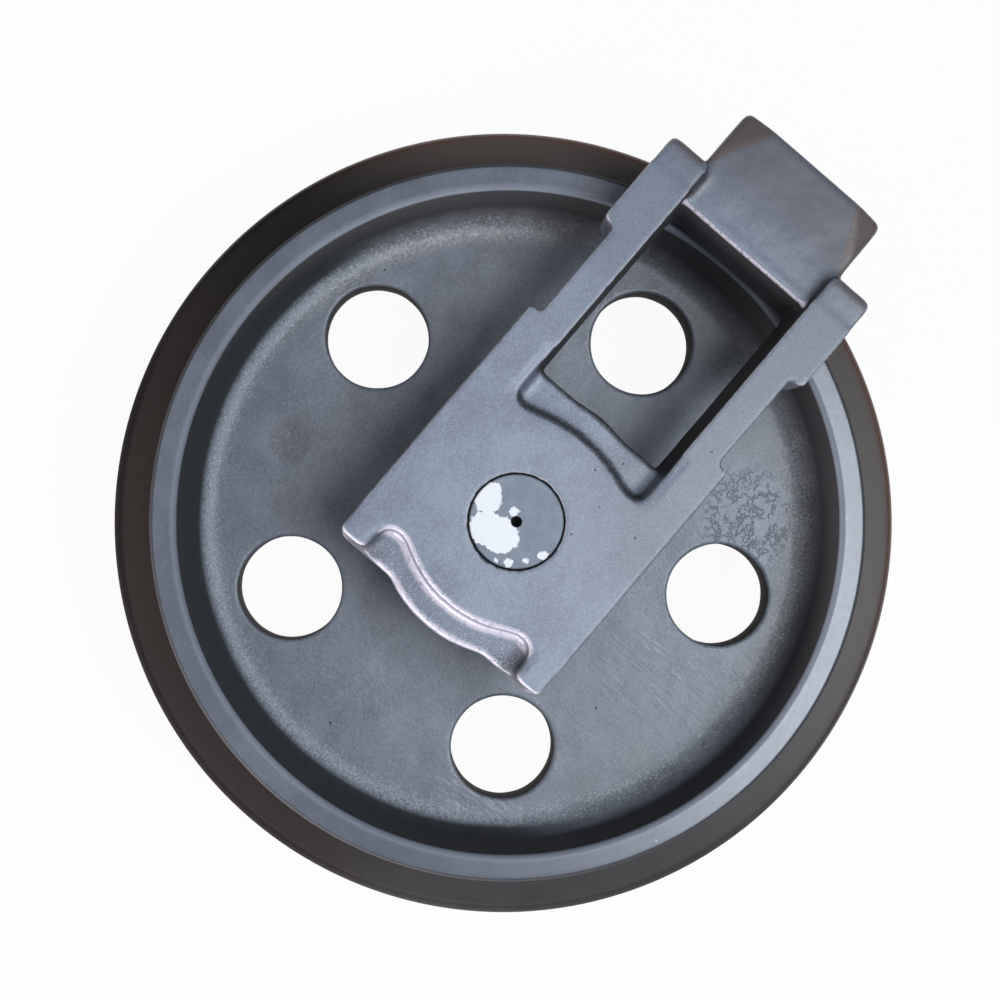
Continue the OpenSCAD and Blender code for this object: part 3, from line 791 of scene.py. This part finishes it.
def wheel_finish():
    """Painted casting: slate rim faces, dark inner walls, dusty grey web, brown-black guide flange."""
    made, tree, shader, coords = new_material("painted_wheel_casting")
    place = coords["Object"]
    grain = use(tree, CAST_GRAIN, {"Vector": place, "Grain": 600.0, "Pit Share": 0.02})
    zone = wheel_zones(tree, place)
    dirt_and_shading = lying_dirt_and_shading(tree, place, zone, grain["Glints"])
    marks = forging_marks(tree, place, zone)

    slope = fade(tree, zone.height, 25 * MM, 31 * MM)
    bare_scale = times(tree, zone.flange, fade(tree, zone.across, 0.1, 0.6), slope)
    colour = web_colour(tree, place, zone, dirt_and_shading, marks, grain)
    colour = blend(tree, zone.face, colour, rim_colour(tree, place, zone))
    # Painted highlight: a paler band on the rim face along its inner edge.
    inner_edge_highlight = fade(tree, zone.radius, RIM_IN_R + 6 * MM, RIM_IN_R + 1.5 * MM)
    colour = coat(tree, colour, ((140, 147, 158), zone.face, inner_edge_highlight, 0.4))
    colour = blend(tree, zone.flange, colour, flange_colour(tree, place, zone, slope, bare_scale))
    # Painted shade along the rim face's outer chamfer.
    feed(tree, shader["Base Color"], coat(tree, colour, ((26, 24, 24), zone.shaded_edge_line, 0.8)))
    feed(tree, shader["Metallic"], bare_scale)
    shader["Specular IOR Level"].default_value = 0.8

    tail_half = fade(tree, zone.along, 0.1, -0.4)
    flange_edge = times(tree, fade(tree, zone.radius, FLANGE_R - 9 * MM, FLANGE_R - 5 * MM), tail_half)
    rim_inner_edge = times(
        tree, fade(tree, zone.radius, RIM_IN_R + 4 * MM, RIM_IN_R + 2 * MM),
        fade(tree, zone.height, RIM_Z - 9 * MM, RIM_Z - 5 * MM),
    )
    matt = largest(
        tree, zone.hole_wall, zone.wall, zone.shaded_edge_line, flange_edge,
        times(tree, zone.flange, tail_half, 0.15), rim_inner_edge,
    )
    rough = total(
        tree, times(tree, grain["Height"], 0.2), 0.32, times(tree, dirt_and_shading.dust, 0.3), times(tree, matt, 0.5)
    )
    feed(tree, shader["Roughness"], maths(tree, "SUBTRACT", rough, times(tree, zone.face, 0.12)))

    machined = largest(tree, zone.face, zone.flange)
    skin = times(tree, grain["Height"], without(tree, machined, 0.8))
    forged = maths(tree, "SUBTRACT", times(tree, marks.drawn, 0.5), times(tree, marks.laps, 0.8))
    relief = total(tree, skin, times(tree, dirt_and_shading.fillet_dust, 0.5), forged)
    feed(tree, shader["Normal"], bump(tree, relief, 0.3 * MM))
    return made


def bracket_zones(tree, place, normal):
    """The bracket's surfaces as masks."""
    facing = add(tree, "SeparateXYZ", {"Vector": normal}).outputs
    axes = add(tree, "SeparateXYZ", {"Vector": place}).outputs
    x = axes["X"]
    wide = maths(tree, "ABSOLUTE", axes["Y"])
    height = maths(tree, "ABSOLUTE", axes["Z"])
    up = maths(tree, "ABSOLUTE", facing["Z"])
    behind = fade(tree, x, -30 * MM, -50 * MM)

    joint = times(
        tree, fade(tree, radius_of(tree, place), SHAFT_R + 0.9 * MM, SHAFT_R + 0.3 * MM),
        fade(tree, height, FACE_Z - 8 * MM, FACE_Z - 4 * MM),
    )
    window = times(
        tree, fade(tree, x, 84 * MM, 92 * MM), fade(tree, x, 250 * MM, 246 * MM),
        fade(tree, wide, 58 * MM, 56 * MM),
    )
    # Painted shade on the -Y side of the block and arm, to offset the window lamp's sheen.
    right_arm_shade = times(tree, fade(tree, axes["Y"], 10 * MM, -70 * MM), fade(tree, x, -40 * MM, 60 * MM))
    # Painted shade in the creases between the tongue and the arms, and at the two ends of the tail's
    # pocket.
    shaded_crease = times(
        tree, fade(tree, wide, 49 * MM, 53 * MM), fade(tree, height, FACE_Z - 1 * MM, FACE_Z - 3.5 * MM),
        fade(tree, x, 242 * MM, 248 * MM), fade(tree, x, 268 * MM, 260 * MM),
    )
    folded = add(tree, "CombineXYZ", {"X": x, "Y": wide}).outputs["Vector"]
    shaded_pocket_end = times(
        tree, near(tree, folded, SHADED_POCKET_END, 9, 20), fade(tree, height, FACE_Z - 2 * MM, FACE_Z - 6 * MM)
    )
    # Brown at the tongue's two far corners, past a slanting line.
    inward = total(tree, wide, times(tree, maths(tree, "SUBTRACT", x, BROWN_START_X), BROWN_SLOPE))
    brown_corner = times(
        tree, fade(tree, inward, TONGUE_Y - 1.2 * MM, TONGUE_Y + 0.6 * MM),
        fade(tree, x, 258 * MM, 270 * MM),
    )
    tail_edge = times(tree, behind, fade(tree, height, LEDGE_Z - 12 * MM, LEDGE_Z - 6 * MM))
    tongue_edge = times(
        tree, fade(tree, x, 232 * MM, 236 * MM), fade(tree, x, 252 * MM, 246 * MM),
        fade(tree, up, 0.96, 0.86),
    )
    # Painted highlight: a pale colour on rounded edges that face the tail lamp, in the tail's pocket and
    # along the tongue's near edge.
    tail_highlight = times(
        tree, largest(tree, tail_edge, tongue_edge), fade(tree, facing["X"], -0.12, -0.35),
        fade(tree, up, 0.2, 0.5), fade(tree, noise(tree, place, 300.0, 4.0, 0.7), 0.28, 0.52),
        without(tree, shaded_pocket_end, 0.9),
    )
    return SimpleNamespace(
        side=fade(tree, up, 0.95, 0.6), joint=joint, window=window, right_arm_shade=right_arm_shade,
        # Painted shade on surfaces that face the fork's end.
        fork_facing_shade=times(tree, fade(tree, facing["X"], 0.14, 0.42), fade(tree, x, TONGUE_X, 230 * MM)),
        # Painted shade along the fork's arms.
        along_fork_shade=fade(tree, x, 60 * MM, TONGUE_X), far_end=fade(tree, x, TONGUE_X, 288 * MM),
        shaded_hollow=largest(tree, shaded_crease, shaded_pocket_end), brown_corner=brown_corner, tail_highlight=tail_highlight,
        pocket_floor=times(tree, behind, fade(tree, height, FACE_Z - 12 * MM, FACE_Z - 15 * MM)),
        ledge=times(tree, behind, fade(tree, height, FACE_Z - 8 * MM, FACE_Z - 12 * MM)),
        pocket=fade(tree, height, FACE_Z - 10 * MM, FACE_Z - 14 * MM),
    )


def bracket_finish():
    """Painted casting: light slate with fine speckle, worn edges with painted glints, painted highlights on
    edges facing the tail lamp, painted shade in hollows, on steep sides and along the fork, and a few open
    pits.
    """
    made, tree, shader, coords = new_material("painted_bracket_casting")
    place = coords["Object"]
    grain = use(tree, CAST_GRAIN, {"Vector": place, "Grain": 720.0, "Pit Share": 0.015})
    # Worn edges, which also stand in for painted glints.
    wear_and_glint = use(tree, EDGE_WEAR_AND_GLINT, {"Vector": place, "Start": 0.515, "Full": 0.57, "Scale": 260.0})["Wear And Glint"]
    zone = bracket_zones(tree, place, coords["Normal"])

    light_specks, dark_specks = salt_and_pepper(tree, place)
    flat = without(tree, zone.side)
    speckle = times(
        tree, total(tree, 0.36, times(tree, zone.ledge, 0.35)), without(tree, zone.along_fork_shade, 0.6), flat,
        without(tree, zone.far_end, 0.8),
    )
    salted = times(
        tree, total(tree, 0.24, times(tree, zone.pocket, 0.2)), flat, without(tree, zone.far_end, 0.7)
    )
    shade = total(tree, 0.4, times(tree, zone.window, 0.55))
    colour = coat(
        tree, cloudy(tree, place, 24.0, (122, 130, 145), (144, 153, 169)),
        # Painted shade: a darker tone along the fork, to offset the window lamp's sheen on the arms.
        ((104, 112, 126), zone.along_fork_shade, 0.68),
        # Painted shade on the -Y side.
        ((104, 109, 120), zone.right_arm_shade, 0.65),
        ((84, 84, 90), zone.far_end, 0.8),
        # Painted shade in the creases and at the pocket's ends.
        ((62, 56, 56), zone.shaded_hollow, 0.75),
        ((98, 84, 80), zone.brown_corner, 0.85),
        ((40, 39, 41), zone.side, shade),
        # Painted shade on surfaces that face the fork's end, away from the tail lamp.
        ((38, 38, 42), zone.fork_facing_shade, 0.8),
        # Worn edges and painted glints on convex edges.
        ((206, 200, 206), wear_and_glint, 0.8),
        ((104, 108, 120), zone.pocket_floor, 0.5),
        # Painted highlight on the edges that face the tail lamp.
        ((204, 199, 210), zone.tail_highlight, 0.85),
        ((196, 204, 216), grain["Glints"], speckle),
        ((186, 196, 208), light_specks, salted),
        ((76, 80, 90), dark_specks, salted),
        ((44, 44, 48), grain["Pits"]),
        ((18, 18, 20), zone.joint),
    )
    feed(tree, shader["Base Color"], colour)
    rough = total(tree, times(tree, grain["Height"], 0.16), 0.28, times(tree, zone.window, zone.side, 0.5))
    feed(tree, shader["Roughness"], rough)
    feed(tree, shader["Normal"], bump(tree, grain["Height"], 0.11 * MM))
    shader["Specular IOR Level"].default_value = 0.55
    return made


def flake_group():
    """How deep a point lies inside a round flake, in metres."""
    tree, given, out = shader_group(
        "flake", [("Vector", "Vector"), ("Centre", "Vector"), ("Radius", "Float")], [("Depth", "Float")]
    )
    ends = {0: given["Vector"], 1: given["Centre"]}
    gap = add(tree, "VectorMath", ends, operation="DISTANCE").outputs["Value"]
    tree.links.new(maths(tree, "SUBTRACT", given["Radius"], gap), out["Depth"])
    return tree


def axle_finish():
    """Turned steel with thin grey paint, and flakes of white filler left on the upper end."""
    made, tree, shader, coords = new_material("painted_axle_steel")
    place = coords["Object"]
    flake = flake_group()
    turn = {"Vector": place, "Rotation": (0, 0, VIEW_TURN), "Scale": (1, 1, 0)}
    turned_place = add(tree, "Mapping", turn).outputs["Vector"]
    depth = -1.0
    for x, y, r in FILLER_FLAKES:
        spot = {"Vector": turned_place, "Centre": (x * MM, y * MM, 0), "Radius": r * MM}
        depth = largest(tree, depth, use(tree, flake, spot)["Depth"])
    ragged = maths(tree, "SUBTRACT", noise(tree, place, 320.0, 4.0, 0.75), 0.5)
    depth = total(tree, depth, times(tree, ragged, 7 * MM))
    upward = add(tree, "SeparateXYZ", {"Vector": place}).outputs["Z"]
    on_end = fade(tree, upward, FACE_Z - 1.6 * MM, FACE_Z - 1.2 * MM)
    filler = times(tree, fade(tree, depth, -0.2 * MM, 0.2 * MM), on_end)
    radius = radius_of(tree, place)
    colour = coat(
        tree, cloudy(tree, place, 60.0, (116, 126, 138), (132, 143, 156)),
        ((248, 249, 252), filler),
        ((16, 16, 18), fade(tree, radius, SHAFT_R - 1.0 * MM, SHAFT_R - 0.5 * MM)),
        ((24, 24, 26), fade(tree, radius, 4.2 * MM, 3.4 * MM)),
    )
    feed(tree, shader["Base Color"], colour)
    feed(tree, shader["Roughness"], total(tree, times(tree, filler, 0.3), 0.42))
    rings = use(tree, TURNING, {"Vector": place, "Pitch": 0.7 * MM})["Height"]
    relief = total(tree, times(tree, rings, 0.12), filler)
    feed(tree, shader["Normal"], bump(tree, relief, 0.25 * MM))
    return made


def turned_finish(name, dark, light, metallic, roughness, pitch, depth):
    """A clouded tone with lathe rings, whose pitch and depth are in millimetres."""
    made, tree, shader, coords = new_material(name)
    place = coords["Object"]
    rings = use(tree, TURNING, {"Vector": place, "Pitch": pitch * MM})["Height"]
    feed(tree, shader["Base Color"], cloudy(tree, place, 70.0, dark, light))
    shader["Metallic"].default_value = metallic
    feed(tree, shader["Roughness"], total(tree, times(tree, rings, 0.2), roughness))
    feed(tree, shader["Normal"], bump(tree, rings, depth * MM))
    return made


def dress(finish, *names):
    """Gives CAD nodes or pieces their finish."""
    for name in names:
        mesh = bpy.data.objects[name].data
        mesh.materials.clear()
        mesh.materials.append(finish)


# Stage, light and camera

def softbox(name, place, target, width, height, power, colour):
    """An oval area lamp that looks at its target."""
    lamp = bpy.data.lights.new(name, "AREA")
    lamp.shape = "ELLIPSE"
    lamp.size = width
    lamp.size_y = height
    lamp.energy = power
    lamp.color = colour
    holder = bpy.data.objects.new(name, lamp)
    bpy.context.scene.collection.objects.link(holder)
    holder.location = place
    holder.rotation_euler = (Vector(target) - Vector(place)).to_track_quat("-Z", "Y").to_euler()


def photo_camera():
    lens = bpy.data.cameras.new("photo_camera")
    lens.sensor_width = SENSOR
    lens.lens = LENS
    lens.clip_end = VIEW_REACH
    camera = bpy.data.objects.new("photo_camera", lens)
    bpy.context.scene.collection.objects.link(camera)
    tilt = Matrix.Rotation(VIEW_TILT_X, 4, "X") @ Matrix.Rotation(VIEW_TILT_Y, 4, "Y")
    to_camera = Matrix.Translation(VIEW_SHIFT) @ tilt @ Matrix.Rotation(VIEW_TURN, 4, "Z")
    camera.matrix_world = to_camera.inverted()
    bpy.context.scene.camera = camera


def seen_directly(tree):
    """1 for the camera, mirrors and glass, 0 for the light that falls on the object."""
    ray = add(tree, "LightPath").outputs
    return largest(tree, ray["Is Camera Ray"], ray["Is Glossy Ray"], ray["Is Transmission Ray"])


def pale_floor():
    """A floor that looks white by itself, and that scatters a little light back."""
    bpy.ops.object.select_all(action="DESELECT")
    bpy.ops.mesh.primitive_plane_add(size=FLOOR_SIZE, location=(0, 0, cad_low.z - FLOOR_GAP))
    floor = bpy.context.object
    floor.name = "floor"
    made = bpy.data.materials.new("pale_floor")
    made.use_nodes = True
    tree = made.node_tree
    tree.nodes.remove(tree.nodes["Principled BSDF"])
    matt = add(tree, "BsdfDiffuse", {"Color": paint(225, 225, 226)})
    white = add(tree, "Emission", {"Color": (1, 1, 1, 1), "Strength": 1.0})
    mixed = add(tree, "MixShader", {"Fac": times(tree, seen_directly(tree), PLAIN_WHITE)})
    tree.links.new(matt.outputs["BSDF"], mixed.inputs[1])
    tree.links.new(white.outputs["Emission"], mixed.inputs[2])
    tree.links.new(mixed.outputs["Shader"], tree.nodes["Material Output"].inputs["Surface"])
    floor.data.materials.append(made)


def studio_world():
    """White to the camera; to the object a grey room that is brighter overhead."""
    world = bpy.data.worlds.new("studio")
    world.use_nodes = True
    bpy.context.scene.world = world
    tree = world.node_tree
    up = add(tree, "SeparateXYZ", {"Vector": add(tree, "TexCoord").outputs["Generated"]}).outputs["Z"]
    room = blend(tree, fade(tree, up, 0.0, 0.9), paint(54, 52, 52), paint(132, 137, 146))
    background = tree.nodes["Background"].inputs
    camera_ray = add(tree, "LightPath").outputs["Is Camera Ray"]
    feed(tree, background["Color"], blend(tree, camera_ray, room, (1, 1, 1, 1)))
    background["Strength"].default_value = 1.0


# Build

cast_wheel()
cast_bracket("bracket_upper", "cast_bracket_upper")
cast_bracket("bracket_lower", "cast_bracket_lower")

dress(wheel_finish(), "cast_wheel")
dress(bracket_finish(), "cast_bracket_upper", "cast_bracket_lower")
dress(axle_finish(), "axle_shaft")
dress(
    turned_finish("cast_bronze", (150, 112, 62), (186, 148, 92), 0.9, 0.25, 0.5, 0.05),
    *[f"bush_{side}" for side in SIDES],
)
dress(
    turned_finish("lapped_seal_iron", (120, 124, 128), (158, 162, 166), 0.9, 0.2, 0.4, 0.03),
    *[f"{half}_seal_ring_{side}" for half in ("hub", "bracket") for side in SIDES],
)
dress(
    turned_finish("seal_rubber", (24, 24, 26), (36, 36, 38), 0.0, 0.55, 1.4, 0.05),
    *[f"{kind}_ring_{side}" for kind in ("hub_toric", "bracket_toric", "axle_o") for side in SIDES],
)
dress(
    turned_finish("plain_steel", (92, 92, 94), (134, 134, 136), 0.85, 0.3, 0.8, 0.06),
    "lock_pin_upper", "lock_pin_lower", "oil_plug",
)
dress(
    turned_finish("soft_copper", (140, 82, 52), (184, 118, 80), 0.9, 0.3, 0.6, 0.05),
    "oil_plug_washer",
)

pale_floor()
studio_world()
for lamp in LAMPS:
    softbox(*lamp)
photo_camera()
bpy.context.scene.view_settings.view_transform = "Standard"
